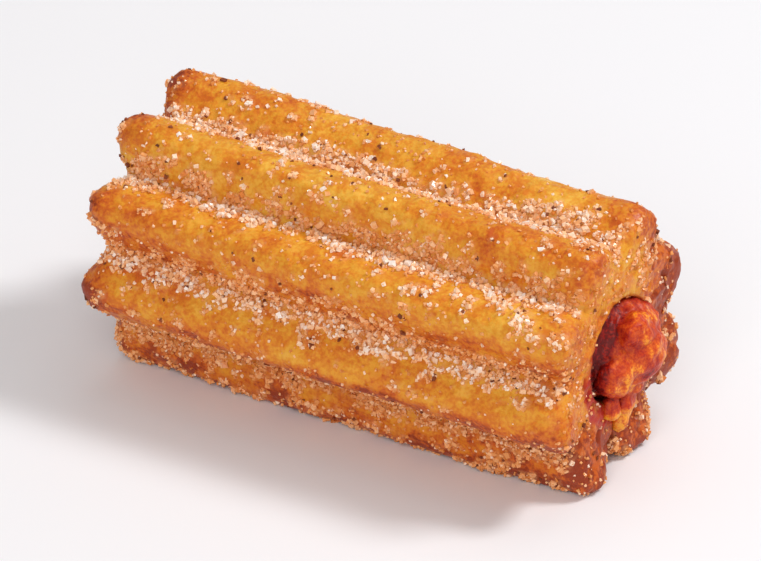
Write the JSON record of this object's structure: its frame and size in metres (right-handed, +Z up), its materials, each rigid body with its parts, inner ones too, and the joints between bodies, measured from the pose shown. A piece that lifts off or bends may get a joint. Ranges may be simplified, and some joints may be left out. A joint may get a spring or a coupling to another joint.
{
  "type": "filled churro",
  "caption": "Short ridged stick of fried dough with a soft fruit filling through its middle, cut square at both ends and rolled in cinnamon sugar.",
  "frame": {"origin": "on the surface the churro rests on, under the middle of its bounding box", "axes": "+X along the churro, towards the end whose filling stands out further; +Z up"},
  "size_m": [0.0506, 0.0248, 0.0239],
  "materials": {
    "fried_dough": "satin",
    "fruit_filling": "gloss"
  },
  "bodies": {
    "root": {"dough": "fried_dough", "filling": "fruit_filling"}
  },
  "joints": []
}
